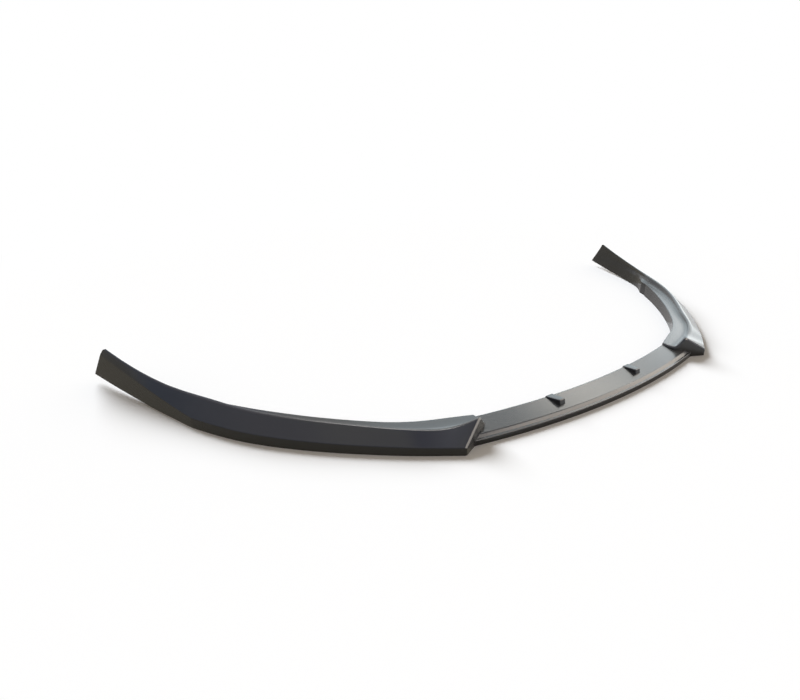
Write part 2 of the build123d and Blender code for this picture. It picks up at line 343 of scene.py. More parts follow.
def batten(knots, rows):
    """Runs smoothly through rows of numbers, as a bent batten does from nail to nail."""
    knots, rows = np.array(knots), np.array(rows)
    gaps = np.diff(knots)[:, None]
    slopes = np.diff(rows, axis=0) / gaps
    inner = gaps[1:-1, 0]
    stiffness = np.diag(2 * (gaps[:-1, 0] + gaps[1:, 0])) + np.diag(inner, 1) + np.diag(inner, -1)
    bends = np.zeros_like(rows)
    bends[1:-1] = np.linalg.solve(stiffness, 6 * np.diff(slopes, axis=0))

    def at(knot):
        i = int(np.clip(np.searchsorted(knots, knot) - 1, 0, len(gaps) - 1))
        gap = gaps[i, 0]
        left, right = (knots[i + 1] - knot) / gap, (knot - knots[i]) / gap
        bend = (left**3 - left) * bends[i] + (right**3 - right) * bends[i + 1]
        row = left * rows[i] + right * rows[i + 1] + bend * gap**2 / 6
        return [Vector(place) for place in row.reshape(-1, 3)]

    return at


def spaced(start, end, gap):
    """Evenly spaced numbers from start to end, about a gap apart."""
    return np.linspace(start, end, max(2, ceil((end - start) / gap) + 1))


def added(name):
    """The object that was just added, under its name."""
    piece = bpy.context.object
    piece.name = name
    return piece


def new_ring(name, points):
    """Adds a ring and moves its vertices to their places; it stays selected in edit mode."""
    bpy.ops.mesh.primitive_circle_add(vertices=len(points), fill_type="NOTHING")
    piece = added(name)
    bpy.ops.object.mode_set(mode="EDIT")
    bpy.ops.mesh.select_mode(type="VERT")
    bpy.ops.mesh.select_all(action="SELECT")
    ring = bmesh.from_edit_mesh(piece.data)
    spot = ring.verts.layers.int.new("spot")
    ring.verts.ensure_lookup_table()
    for index, vertex in enumerate(ring.verts):
        vertex[spot] = index
        vertex.co = points[index]
    bmesh.update_edit_mesh(piece.data)
    return piece


def loft(name, rings):
    """Extrudes a ring from place to place and closes both ends; the piece stays in edit mode."""
    piece = new_ring(name, rings[0])
    for points in rings[1:]:
        bpy.ops.mesh.extrude_edges_indiv()
        skin = bmesh.from_edit_mesh(piece.data)
        spot = skin.verts.layers.int["spot"]
        for vertex in skin.verts:
            if vertex.select:
                vertex.co = points[vertex[spot]]
        bmesh.update_edit_mesh(piece.data)
    close_ends()
    return piece


def face_out():
    """Turns all faces of the mesh in edit mode outwards."""
    bpy.ops.mesh.select_all(action="SELECT")
    bpy.ops.mesh.normals_make_consistent(inside=False)


def close_ends():
    bpy.ops.mesh.select_all(action="SELECT")
    bpy.ops.mesh.fill_holes(sides=0)
    face_out()


def split_cap(piece, one, two):
    """Splits an end face between the vertices nearest to two places."""
    bpy.ops.mesh.select_all(action="DESELECT")
    skin = bmesh.from_edit_mesh(piece.data)
    for place in (one, two):
        min(skin.verts, key=lambda vertex: (vertex.co - place).length).select_set(True)
    bmesh.update_edit_mesh(piece.data)
    bpy.ops.mesh.vert_connect()


def leave_edit(piece):
    """Back to object mode, with the helper numbers on the vertices removed."""
    bpy.ops.object.mode_set(mode="OBJECT")
    spot = piece.data.attributes.get("spot")
    if spot:
        piece.data.attributes.remove(spot)


def mirror(piece):
    """Adds the same piece on the other side of the car."""
    other = piece.modifiers.new("other side", "MIRROR")
    other.use_mirror_merge = False
    bpy.context.view_layer.objects.active = piece
    bpy.ops.object.modifier_apply(modifier=other.name)
    bpy.ops.object.mode_set(mode="EDIT")
    face_out()
    bpy.ops.object.mode_set(mode="OBJECT")


class BladeShape:
    """Section of the blade and the line of its bow."""

    def __init__(self, sizes):
        self.sizes = sizes

    def bow(self, depth, x):
        """Plan depth at x of the line that crosses the middle at this depth."""
        return self.sizes.bow_radius - sqrt((self.sizes.bow_radius - depth) ** 2 - x**2)

    def outline(self):
        s = self.sizes
        shoulder = (s.ledge_run + s.shoulder_run, s.lip_height + s.shoulder_rise)
        front = [(0, BLADE_FOOT), (0, s.lip_height), (s.ledge_run, s.lip_height), shoulder]
        return [*front, (s.depth, s.rear_height), (s.depth, BLADE_FOOT)]

    def swing(self, name, outline, rounds, steps):
        """Swings a section about the centre of the bow, from one corner into the other."""
        s = self.sizes
        half_turn = atan2(s.half_span, sqrt(s.bow_radius**2 - s.half_span**2))
        centre = plan(0, s.bow_radius)
        outward = Vector((-sin(half_turn), -cos(half_turn), 0))
        corners = [centre + outward * (s.bow_radius - depth) + UP * height for depth, height in outline]
        piece = new_ring(name, rounded(corners, rounds))
        bpy.ops.mesh.spin(steps=steps, angle=-2 * half_turn, center=centre, axis=UP)
        close_ends()
        leave_edit(piece)
        return piece


class CornerShape:
    """Sections of a corner and its wing, on upright planes that cross the lip line."""

    TURNS = 4
    KNEE_TURNS = 7
    COVE_TURNS = 8
    # The rim is a flat bevel with eased edges: how far in and how far out, as shares of its size
    RIM_STEPS = ((1.0, 1.0), (0.78, 0.9), (0.1, 0.22))
    # Sections each side of the shoulder that are faired, and how often
    EASE_RINGS = 14
    EASE_PASSES = 40
    # Numbers of a section's corners: the ridge's first, and where a flange starts and ends
    RIDGE = 2
    MEET = 5
    EDGE = 6

    def __init__(self, scene):
        self.blade = BladeShape(scene.blade_sizes)
        self.corner, self.flange, self.wing = scene.corner_sizes, scene.flange_sizes, scene.wing_sizes
        c = self.corner
        self.front = c.front_radius * c.front_turn
        self.full = self.front + c.side_radius * c.side_turn
        self.joint_lip = plan(c.joint_x, c.joint_depth)
        self.joint_inward = compass(c.wall_angle)
        self.joint_back = compass(c.wall_angle - pi / 2)
        self.valley = self.joint_lip + self.joint_inward * c.valley_in
        self.flange_corner = plan(self.valley.x, self.blade.bow(self.blade.sizes.depth, self.valley.x))
        self.joint_edge_in = c.valley_in + self.flange_corner.y - self.valley.y
        self.flange_end = blend(self.front, self.full, self.flange.end)
        middles = (blend(c.sweep, self.front, 0.5), blend(self.front, self.full, 0.5))
        self.stations = (c.sweep, middles[0], self.front, middles[1], self.full)
        self.distances = (0, c.sweep / 2, *self.stations)

    def lip_line(self, distance):
        """Point on the lip line at a distance from the joint, and the inward direction there."""
        c = self.corner
        place, turn = self.joint_lip, c.lip_heading
        runs = (c.front_radius, min(distance, self.front)), (c.side_radius, max(0, distance - self.front))
        for radius, run in runs:
            turned = turn + run / radius
            place = place + Vector((sin(turned) - sin(turn), cos(turn) - cos(turned), 0)) * radius
            turn = turned
        return place, compass(turn + pi / 2)

    def flange_height(self, point):
        return self.flange.height + self.flange.climb * (point.y - self.flange_corner.y)

    def wall(self, ridge, valley):
        """Knee of the inner wall, its toe under the flange, and where it meets the flange."""
        c = self.corner
        run, rise = valley[0] - ridge[0], ridge[1] - valley[1]
        knee = (ridge[0] + c.knee_run * run, valley[1] + c.knee_rise * rise)
        toe = (valley[0] + c.toe_run * run, valley[1] - c.toe_drop * rise)
        meet = blend(knee[0], toe[0], c.knee_rise / (c.knee_rise + c.toe_drop))
        return knee, toe, (meet, valley[1])

    def section(self, lift, lip, ridge, land, inner):
        """Corners from the lip's foot over the ridge to the foot of the inner side, as runs and heights."""
        top = [(ridge[0] - land / 2, ridge[1]), (ridge[0] + land / 2, ridge[1])] if land else [ridge]
        return [(0, lift), (0, lip), *top, *inner]

    def joint_section(self, land, flanged):
        c = self.corner
        ridge = (c.peak_in, c.peak_height)
        valley = (c.valley_in, self.flange_height(self.valley))
        knee, _, _ = self.wall(ridge, valley)
        edge = [(c.valley_in, CORNER_FOOT)]
        if flanged:
            top = (self.joint_edge_in, self.flange_height(self.flange_corner))
            edge = [top, (self.joint_edge_in, CORNER_FOOT)]
        return self.section(CORNER_FOOT, c.lip_low, ridge, land, [knee, valley, *edge])

    def corner_section(self, distance, land, flanged):
        c = self.corner
        place, inward = self.lip_line(distance)
        part = max(0, (distance - self.front) / (self.full - self.front))
        climb = (distance - c.sweep) / (self.full - c.sweep)
        ridge = (blend(c.face_run, c.shoulder_run, part), blend(c.ridge_low, c.ridge_high, climb))
        valley_in = c.face_run + c.wall_run
        knee, toe, meet = self.wall(ridge, (valley_in, self.flange_height(place + inward * valley_in)))
        inner = [knee, toe, (toe[0], CORNER_FOOT)]
        if flanged:
            edge_in = valley_in + self.flange.run + (self.flange.sweep_extra if distance <= c.sweep else 0)
            edge = (edge_in, self.flange_height(place + inward * edge_in))
            inner = [knee, meet, edge, (edge_in, CORNER_FOOT)]
        lip = blend(c.lip_low, c.lip_high, distance / self.full)
        return self.section(CORNER_FOOT, lip, ridge, land, inner)

    def wing_section(self, part, land):
        """Section at a share of the wing's length, eased from the shoulder's to the tip's."""
        w, c = self.wing, self.corner
        root_knee, root_toe, root_heel = self.corner_section(self.full, 0, False)[-3:]
        taper = 1 - (1 - part) ** w.foot_taper
        face_run = blend(c.shoulder_run, w.face_run, 1 - (1 - part) ** w.face_taper)
        ridge = (face_run, blend(c.ridge_high, w.ridge_height, part**w.ridge_power))
        knee = (blend(root_knee[0], w.knee_run, taper), blend(root_knee[1], w.knee_height, part))
        toe = (blend(root_toe[0], w.toe_run, taper), blend(root_toe[1], w.toe_height, part))
        lift = w.lift * part**w.lift_power if part else CORNER_FOOT
        heel = (blend(root_heel[0], w.heel_run, taper), lift)
        lip = blend(c.lip_high, w.lip_height, part**w.lip_power)
        return self.section(lift, lip, ridge, land and blend(land, w.ridge_land, part), [knee, toe, heel])

    def closed(self, corners, flanged, at_joint=False):
        """Adds the middle of a plain section's leg and a foot under the valley, so that sections match."""
        if flanged:
            valley = self.corner.valley_in if at_joint else corners[-3][0]
            return [*corners, (valley, corners[-1][1])]
        toe, heel = corners[-2:]
        middle = (blend(toe[0], heel[0], 0.5), blend(toe[1], heel[1], 0.5))
        return [*corners[:-1], middle, heel, (heel[0] / 2, heel[1])]

    def at_joint(self, corner, back=0.0):
        """Place of a corner of the joint's section; behind the valley its wall runs straight back."""
        run, height = corner
        turn = self.corner.valley_in
        start = self.joint_lip + self.joint_back * back
        bend = start + self.joint_inward * ((start.x - self.valley.x - back) / -self.joint_inward.x)
        if run <= turn:
            return start.lerp(bend, run / turn) + UP * height
        rear = Vector((bend.x, self.flange_corner.y, 0))
        return bend.lerp(rear, (run - turn) / (self.joint_edge_in - turn)) + UP * height

    def at_distance(self, distance, corner):
        place, inward = self.lip_line(distance)
        return place + inward * corner[0] + UP * corner[1]

    def at_wing(self, part, corner):
        shoulder, inward = self.lip_line(self.full)
        if part > 0:
            inward = compass(self.wing.heading + pi / 2)
        along = compass(self.wing.heading) * self.wing.reach
        return shoulder + along * part + inward * corner[0] + UP * corner[1]

    def rounds(self, flanged, gap=0.0):
        """Radius and steps of each corner, drawn in by a gap."""
        c, turns = self.corner, self.TURNS
        radii = (c.crease_round, c.ridge_round, c.ridge_round)
        outward = [(max(radius - gap, LEAST_ROUND), turns) for radius in radii]
        cove = (0.0, self.COVE_TURNS, self.flange.cove)
        foot = [cove, (max(self.flange.edge_round - gap, LEAST_ROUND), turns)]
        if not flanged:
            foot = [(c.toe_round, self.COVE_TURNS), (c.toe_round, turns)]
        return [SHARP, *outward, (KNEE_ROUND, self.KNEE_TURNS), *foot, SHARP, SHARP]

    def cove_middle(self):
        """Number of the point in the middle of the cove, counted from the lip's foot."""
        return sum(steps + 1 for _, steps in self.rounds(True)[: self.MEET]) + self.COVE_TURNS // 2

    def drawn_in(self, corners, gap):
        """A section of the hollow, inside the skin's by a gap."""
        return inset(corners, gap, HOLLOW_FOOT) if gap else corners

    def corner_guide(self, flanged, gap=0.0):
        """Batten through the corner's stations, and the knot of each; a gap draws the sections in."""
        land = 0 if gap else self.corner.ridge_land
        joint = self.drawn_in(self.joint_section(land, flanged), gap)
        places = [[self.at_joint(corner, gap) for corner in self.closed(joint, flanged, at_joint=True)]]
        for distance in self.stations:
            corners = self.drawn_in(self.corner_section(distance, land, flanged), gap)
            places.append([self.at_distance(distance, corner) for corner in self.closed(corners, flanged)])
        places.insert(1, self.waist(*places[:2], knee=self.RIDGE + (2 if land else 1)))
        return self.guide(places)

    def waist(self, joint, sweep, knee):
        """Halfway along the sweep, where the ridge still hangs low before it climbs to the peak."""
        places = [one.lerp(two, 0.5) for one, two in zip(joint, sweep)]
        for ridge in range(self.RIDGE, knee):
            places[ridge] -= UP * self.corner.dip
        places[knee] -= UP * self.corner.dip * self.corner.knee_rise
        return places

    def wing_guide(self, parts, gap=0.0):
        """Batten through sections at these shares of the wing, and the knot of each."""
        land = 0 if gap else self.corner.ridge_land
        places = []
        for part in parts:
            corners = self.drawn_in(self.wing_section(part, land), gap)
            places.append([self.at_wing(part, corner) for corner in self.closed(corners, False)])
        return self.guide(places)

    def guide(self, places):
        """Batten through matching corners; its knots are as far apart as the upper corners are."""
        upper = slice(0, 4)
        knots = [0.0]
        for one, two in zip(places, places[1:]):
            steps = [(b - a).length for a, b in zip(one[upper], two[upper])]
            knots.append(knots[-1] + sum(steps) / len(steps))
        rows = [[value for corner in place for value in corner] for place in places]
        return knots, batten(knots, rows)

    def narrowed(self, corners, part, end_width):
        """Draws the flange's edge and its foot in on the way to its end, where part is 1."""
        *others, meet, edge, foot, last = corners
        inward = (meet - edge) * (1 - end_width) * part**2
        inward.z = 0
        return [*others, meet, edge + inward, foot + inward, last]

    def skin_rings(self):
        c, f, w = self.corner, self.flange, self.wing
        rings = []
        for inward, outward in self.RIM_STEPS:
            gap = c.rim * inward
            drawn_in = inset(self.joint_section(c.ridge_land, True), gap, CORNER_FOOT)
            corners = self.closed(drawn_in, True, at_joint=True)
            places = [self.at_joint(corner, -c.rim * outward) for corner in corners]
            rings.append(rounded(places, self.rounds(True, gap)))

        knots, flanged = self.corner_guide(True)
        end = np.interp(self.flange_end, self.distances, knots)
        for knot in spaced(0, end - f.edge_round, RING_GAP):
            part = max(0, 1 - (end - knot) / f.end_taper)
            rings.append(rounded(self.narrowed(flanged(knot), part, f.end_width), self.rounds(True)))
        for step in range(1, self.TURNS + 1):
            turn = step / self.TURNS * pi / 2
            corners = self.narrowed(flanged(end - f.edge_round * (1 - sin(turn))), 1, f.end_width)
            for lowered in (self.MEET, self.EDGE):
                corners[lowered] -= UP * f.edge_round * (1 - cos(turn))
            rings.append(rounded(corners, self.rounds(True)))

        _, plain = self.corner_guide(False)
        for knot in spaced(end + END_LEAN, knots[-1], RING_GAP):
            rings.append(rounded(plain(knot), self.rounds(False)))
        shoulder = len(rings) - 1
        knots, wing = self.wing_guide(WING_STATIONS)
        past_tip = w.top_round
        for knot in spaced(0, knots[-1] + past_tip, RING_GAP)[1:]:
            rings.append(rounded(wing(knot), self.rounds(False)))
        self.ease(rings, shoulder)
        return rings

    def ease(self, rings, middle):
        """Fairs the ridge and the inner wall's knee over the shoulder; crease and legs keep their bend."""
        first_ridge = 1 + self.TURNS + 1
        first_toe = first_ridge + 2 * (self.TURNS + 1) + self.KNEE_TURNS + 1
        for _ in range(self.EASE_PASSES):
            for index in range(middle - self.EASE_RINGS, middle + self.EASE_RINGS + 1):
                before, here, after = rings[index - 1 : index + 2]
                for spot in range(first_ridge, first_toe):
                    here[spot] = here[spot] / 2 + (before[spot] + after[spot]) / 4

    def hollow_rings(self, wall):
        knots, flanged = self.corner_guide(True, wall)
        end = np.interp(self.flange_end, self.distances, knots) - wall
        rings = []
        for knot in spaced(0, end, HOLLOW_GAP):
            part = max(0, 1 - (end - knot) / self.flange.end_taper)
            rings.append(self.narrowed(flanged(knot), part, self.flange.end_width / 2))
        _, plain = self.corner_guide(False, wall)
        rings += [plain(knot) for knot in spaced(end + END_LEAN, knots[-1], HOLLOW_GAP)]
        knots, wing = self.wing_guide((0, self.wing.hollow / 2, self.wing.hollow), wall)
        return rings + [wing(knot) for knot in spaced(0, knots[-1], HOLLOW_GAP)[1:]]

    def tip_planes(self):
        """Planes that cut the wing's end, as points and normals: the rake, then a round into the ridge."""
        w = self.wing
        shoulder, _ = self.lip_line(self.full)
        along = compass(w.heading)
        foot = shoulder + along * w.reach + UP * w.lift
        top = shoulder + along * (w.reach - w.rake_setback) + UP * w.rake_height
        rake = (top - foot).normalized()
        outward = along * rake.z - UP * rake.dot(along)
        climb = w.ridge_power * (w.ridge_height - self.corner.ridge_high) / w.reach
        upward = (UP - along * climb).normalized()
        half = outward.angle(upward) / 2
        centre = top - (outward + upward).normalized() * (w.top_round / cos(half))
        planes = [(foot - outward * TIP_INSET, outward)]
        for step in range(1, TIP_STEPS):
            normal = outward.slerp(upward, step / TIP_STEPS)
            planes.append((centre + normal * w.top_round, normal))
        return planes


class Value:
    """A shader socket that takes part in Python expressions; every operator adds one Math node."""

    def __init__(self, shader, socket):
        self.shader = shader
        self.socket = socket

    def math(self, operation, *others):
        """This value and the others through one Math node."""
        return self.shader.node("ShaderNodeMath", {"operation": operation}, dict(enumerate((self, *others))))

    def __add__(self, other):
        return self.math("ADD", other)

    __radd__ = __add__

    def __mul__(self, other):
        return self.math("MULTIPLY", other)

    __rmul__ = __mul__

    def __sub__(self, other):
        return self.math("SUBTRACT", other)

    def __rsub__(self, other):
        return self.shader.node("ShaderNodeMath", {"operation": "SUBTRACT"}, {0: other, 1: self})

    def __gt__(self, other):
        return self.math("GREATER_THAN", other)


class Shader:
    """A node tree that is written from Python: node() adds any node and hands back one of its outputs."""

    def __init__(self, owner):
        self.owner = owner
        owner.use_nodes = True
        self.tree = owner.node_tree
        self.tree.nodes.clear()

    def node(self, kind, settings=None, inputs=None, output=0):
        """Adds a node, makes its settings, then fills its sockets with values or links.

        A colour is given without its alpha.
        """
        made = self.tree.nodes.new(kind)
        for name, setting in (settings or {}).items():
            setattr(made, name, setting)
        for name, given in (inputs or {}).items():
            socket = self.socket(made.inputs, name)
            if isinstance(given, Value):
                self.tree.links.new(given.socket, socket)
            elif socket.type == "RGBA":
                socket.default_value = (*given, 1.0)
            else:
                socket.default_value = given
        if not made.outputs:
            return made
        return Value(self, self.socket(made.outputs, output))

    def socket(self, sockets, name):
        """A socket by its number, or by its name among those that the node's settings leave open."""
        if isinstance(name, int):
            return sockets[name]
        return next(socket for socket in sockets if socket.name == name and socket.enabled)

    def split(self, vector):
        """The three numbers of a vector."""
        return [self.node("ShaderNodeSeparateXYZ", {}, {0: vector}, axis) for axis in "XYZ"]

    def ease(self, value, start, end):
        """0 up to start, 1 from end on, and smooth between them."""
        limits = {"Value": value, "From Min": start, "From Max": end}
        return self.node("ShaderNodeMapRange", {"interpolation_type": "SMOOTHSTEP"}, limits)

    def noise(self, place, scale, detail):
        return self.node("ShaderNodeTexNoise", {}, {"Vector": place, "Scale": scale, "Detail": detail})

    def mix(self, part, start, end):
        """A colour on the way from start to end."""
        sockets = {"Factor": part, "A": start, "B": end}
        return self.node("ShaderNodeMix", {"data_type": "RGBA"}, sockets, "Result")

    def close(self, surface, output="ShaderNodeOutputMaterial"):
        self.node(output, {}, {"Surface": surface})

    def plastic(self, colour, roughness, bump):
        """Closes the tree with a plastic surface."""
        sockets = {"Base Color": colour, "Roughness": roughness, "IOR": PLASTIC_IOR, "Normal": bump}
        self.close(self.node("ShaderNodeBsdfPrincipled", {}, sockets))


def gloss_black(finish):
    """The visible face: gloss black plastic, a little wavy, with haze and dust, dull inside the wings."""
    material = bpy.data.materials.new("gloss_black")
    shader = Shader(material)
    place = shader.node("ShaderNodeTexCoord", output="Object")
    normal = shader.node("ShaderNodeNewGeometry", output="Normal")
    x, y, _ = shader.split(place)
    across, _, upward = shader.split(normal)

    behind = shader.ease(y, finish.dull_start, finish.dull_start + finish.dull_fade)
    inward = shader.ease(across * x.math("SIGN") * -1, start=0.25, end=0.65)
    dull = behind * inward

    haze = shader.noise(place, scale=9.0, detail=4.0)
    smears = shader.noise(place, scale=55.0, detail=3.0)
    waves = shader.noise(place, scale=6.0, detail=1.0)
    peel = shader.noise(place, scale=320.0, detail=2.0)
    grain = shader.noise(place, scale=700.0, detail=3.0)
    specks = shader.ease(shader.noise(place, scale=1400.0, detail=0.0), start=0.74, end=0.82)
    on_top = shader.ease(upward, start=0.5, end=0.95)
    dust = specks * on_top * shader.ease(haze, start=0.35, end=0.7)

    gloss = finish.roughness + (haze - NOISE_MEAN) * finish.haze + (smears - NOISE_MEAN) * finish.smears
    roughness = gloss + dull * finish.dull_roughness + dust * finish.dust_roughness
    height = waves * finish.waves + peel * finish.peel + grain * dull * finish.dull_grain
    bump = shader.node("ShaderNodeBump", {}, {"Strength": 1.0, "Distance": MM, "Height": height})
    shader.plastic(shader.mix(dust * finish.dust_cover, finish.colour, finish.dust_colour), roughness, bump)
    return material


def moulded_back(finish):
    """The hollow underside: the same plastic with the mould's dull grain."""
    material = bpy.data.materials.new("moulded_back")
    shader = Shader(material)
    place = shader.node("ShaderNodeTexCoord", output="Object")
    grain = shader.noise(place, scale=900.0, detail=3.0)
    cloud = shader.noise(place, scale=14.0, detail=3.0)
    roughness = finish.back_roughness + (cloud - NOISE_MEAN) * finish.back_cloud
    relief = {"Strength": 0.35, "Distance": finish.back_grain, "Height": grain}
    shader.plastic(finish.back_colour, roughness, shader.node("ShaderNodeBump", {}, relief))
    return material


class LipFinish(bpy.types.PropertyGroup):
    """The moulding's colours and gloss."""

    colour: tint("Plastic colour", "Colour of the plastic under its gloss", (0.010, 0.010, 0.011))
    roughness: factor("Roughness", "How far the gloss blurs what it reflects", 0.09)
    haze: share("Haze", "How far the broad haze changes the roughness", 0.07)
    smears: share("Smears", "How far the finer smears change the roughness", 0.04)
    waves: share("Waves", "Height in millimetres of the slow waves that the mould leaves in the gloss", 0.12)
    peel: share("Peel", "Height in millimetres of the fine ripple in the gloss", 0.003)
    dust_colour: tint("Dust colour", "Colour of the dust on top", (0.20, 0.19, 0.17))
    dust_cover: factor("Dust cover", "How far a speck of dust hides the plastic", 0.5)
    dust_roughness: factor("Dust roughness", "Roughness that a speck of dust has over the gloss", 0.3)
    dull_start: length("Dull start", "Where the inner side of the wings starts to lose its gloss, in y", 40.0)
    dull_fade: length("Dull fade", "Distance in which the gloss is lost", 160.0)
    dull_roughness: factor("Dull roughness", "Roughness of the wings' inner side over the gloss", 0.4)
    dull_grain: share("Dull grain", "Height in millimetres of the grain on the wings' inner side", 0.05)
    back_colour: tint("Underside colour", "Colour of the dull plastic in the hollows", (0.016, 0.016, 0.017))
    back_roughness: factor("Underside roughness", "How dull the plastic in the hollows is", 0.5)
    back_cloud: share("Underside cloud", "How far the roughness changes in the hollows", 0.15)
    back_grain: length("Underside grain", "Height of the grain in the hollows", 0.4)


class StudioSetup(bpy.types.PropertyGroup):
    """The floor, the lamps and the camera."""

    camera_place: bpy.props.FloatVectorProperty(
        name="Camera place",
        description="Where the camera stands",
        default=(-1.0544, -1.0608, 0.6164),
        subtype="TRANSLATION",
        unit="LENGTH",
    )
    camera_aim: bpy.props.FloatVectorProperty(
        name="Camera aim",
        description="Direction in which the camera looks",
        default=(0.5332, 0.7503, -0.3909),
        subtype="DIRECTION",
    )
    lens: bpy.props.FloatProperty(
        name="Lens",
        description="Focal length on a 36 mm wide sensor",
        default=27.0,
        unit="CAMERA",
    )
    floor_colour: tint("Floor colour", "Colour of the floor near the lip", (0.98, 0.975, 0.97))
    floor_near: length("Floor near", "Distance from the middle where the floor starts to turn white", 1300.0)
    floor_far: length("Floor far", "Distance from the middle where the floor is plain white", 2100.0)
    key: share("Key", "Level that the main light gives the floor", 0.7)
    key_colour: tint("Key colour", "Colour of the main light", (1.0, 1.05, 1.11))
    key_azimuth: angle("Key azimuth", "Direction of the main light in plan", 88.0)
    key_elevation: angle("Key elevation", "Height of the main light", 33.0)
    key_spread: angle("Key spread", "How broad the main light is", 36.0)
    fill: share("Fill", "Level of the soft light from all round", 0.32)
    fill_colour: tint("Fill colour", "Colour of the soft light from all round", (1.0, 0.9, 0.78))
    softbox_colour: tint("Softbox colour", "Colour of the plain softboxes", (1.0, 0.98, 0.95))
    cool_colour: tint("Cool colour", "Colour of the broad softbox behind", (0.70, 0.90, 1.0))
    warm_colour: tint("Warm colour", "Colour of the core and front softboxes", (1.0, 0.90, 0.78))
    # Painted reflection: colours of a glowing screen that only the gloss sees, darker towards the floor
    reflection_wall_low: tint("Curtain low", "Colour of the dark curtain at the floor", (0.33, 0.41, 0.60))
    reflection_wall_high: tint("Curtain high", "Colour of the dark curtain at its top", (0.76, 0.77, 0.92))
    curtain_height: length("Curtain height", "Height of the dark curtain", 5500.0)
    curtain_fade: length("Curtain fade", "Height at which the dark curtain has its upper colour", 2400.0)
    curtain_start: angle("Curtain start", "Direction in plan where the curtain starts, behind", 80.0)
    curtain_end: angle("Curtain end", "Direction in plan where the curtain ends, in front", -25.0)
    # Painted reflection: colour of a glowing sheet overhead that only the gloss sees
    reflection_roof_colour: tint("Ceiling colour", "Colour of the sheet over the front", (0.44, 0.48, 0.74))
    # Painted reflection: colours of glowing sheets that stand in for a darker, brownish floor in shade, seen
    # only in the gloss
    floor_reflection_colour: tint("Floor reflection colour", "Colour of the painted_floor_reflections on the left and behind", (0.33, 0.30, 0.24))
    inside_floor_reflection_colour: tint("Inside floor reflection colour", "Colour of the mat inside the right corner", (0.55, 0.53, 0.52))


class SPLITTER_OT_mix_plastics(bpy.types.Operator):
    """Mix the gloss plastic of the face and the dull plastic of the back"""

    bl_idname = "splitter.mix_plastics"
    bl_label = "Mix Plastics"

    def execute(self, context):
        gloss_black(context.scene.lip_finish)
        moulded_back(context.scene.lip_finish)
        return {"FINISHED"}


class SPLITTER_OT_add_blade(bpy.types.Operator):
    """Swing the blade's section round its bow, with the hollow under it"""

    bl_idname = "splitter.add_blade"
    bl_label = "Add Blade"

    def execute(self, context):
        sizes = context.scene.blade_sizes
        shape = BladeShape(sizes)
        radii = (sizes.lip_round, sizes.ledge_round, sizes.shoulder_round, sizes.rear_round)
        rounds = [SHARP, *((radius, BLADE_TURNS) for radius in radii), SHARP]
        shape.swing("blade", shape.outline(), rounds, BLADE_STEPS)
        hollow = inset(shape.outline(), sizes.wall, HOLLOW_FOOT)
        shape.swing("blade_hollow", hollow, [SHARP] * len(hollow), HOLLOW_STEPS)
        return {"FINISHED"}


class SPLITTER_OT_add_fins(bpy.types.Operator):
    """Shape a wedge fin from a cube, round its nose and top, and copy it to the other side"""

    bl_idname = "splitter.add_fins"
    bl_label = "Add Fins"

    def execute(self, context):
        fin, blade = context.scene.fin_sizes, context.scene.blade_sizes
        nose = fin.nose_depth - fin.rake
        tail = BladeShape(blade).bow(blade.depth, fin.inner_x) - fin.setback
        side = [(nose, blade.lip_height), (fin.nose_depth, fin.nose_height)]
        side += [(tail, fin.tail_height), (tail, blade.lip_height)]

        def width(depth):
            return blend(fin.nose_width, fin.tail_width, (depth - nose) / (tail - nose))

        def flank(x):
            return [plan(x(depth), depth) + UP * height for depth, height in side]

        flanks = flank(lambda depth: fin.inner_x), flank(lambda depth: fin.inner_x + width(depth))
        piece = self.wedge("fins", *flanks)
        bpy.ops.mesh.select_mode(type="EDGE")
        bpy.ops.mesh.select_all(action="DESELECT")
        skin = bmesh.from_edit_mesh(piece.data)
        behind = plan(0, tail - blade.wall).y
        for edge in skin.edges:
            middle = (edge.verts[0].co + edge.verts[1].co) / 2
            edge.select_set(middle.z > blade.lip_height + fin.rounding and middle.y < behind)
        bmesh.update_edit_mesh(piece.data)
        bpy.ops.mesh.bevel(offset=fin.rounding, segments=FIN_TURNS, affect="EDGES")
        leave_edit(piece)
        mirror(piece)

        side = inset(side, blade.wall, HOLLOW_FOOT)
        slot_end = fin.inner_x + fin.nose_width - blade.wall
        flanks = flank(lambda depth: fin.inner_x + blade.wall), flank(lambda depth: slot_end)
        hollow = self.wedge("fins_hollow", *flanks)
        leave_edit(hollow)
        mirror(hollow)
        return {"FINISHED"}

    def wedge(self, name, left, right):
        """A cube whose corners are moved to the four places of each flank; it stays in edit mode."""
        bpy.ops.mesh.primitive_cube_add(size=1.0)
        piece = added(name)
        for vertex in piece.data.vertices:
            flank = right if vertex.co.x > 0 else left
            upper, rear = vertex.co.z > 0, vertex.co.y > 0
            vertex.co = flank[(2 if upper else 3) if rear else (1 if upper else 0)]
        bpy.ops.object.mode_set(mode="EDIT")
        face_out()
        return piece


class SPLITTER_OT_add_corners(bpy.types.Operator):
    """Loft a corner with its flange and wing, cut the wing's raked end, and copy it to the other side"""

    bl_idname = "splitter.add_corners"
    bl_label = "Add Corners"

    def execute(self, context):
        shape = CornerShape(context.scene)
        rings = shape.skin_rings()
        piece = loft("corners", rings)
        split_cap(piece, rings[0][shape.cove_middle()], rings[0][-1])
        for place, normal in shape.tip_planes():
            bpy.ops.mesh.select_all(action="SELECT")
            bpy.ops.mesh.bisect(plane_co=place, plane_no=normal, clear_outer=True)
            close_ends()
        leave_edit(piece)
        mirror(piece)

        rings = shape.hollow_rings(context.scene.blade_sizes.wall)
        hollow = loft("corners_hollow", rings)
        *_, meet, _, _, last = rings[0]
        split_cap(hollow, meet, last)
        leave_edit(hollow)
        mirror(hollow)
        return {"FINISHED"}


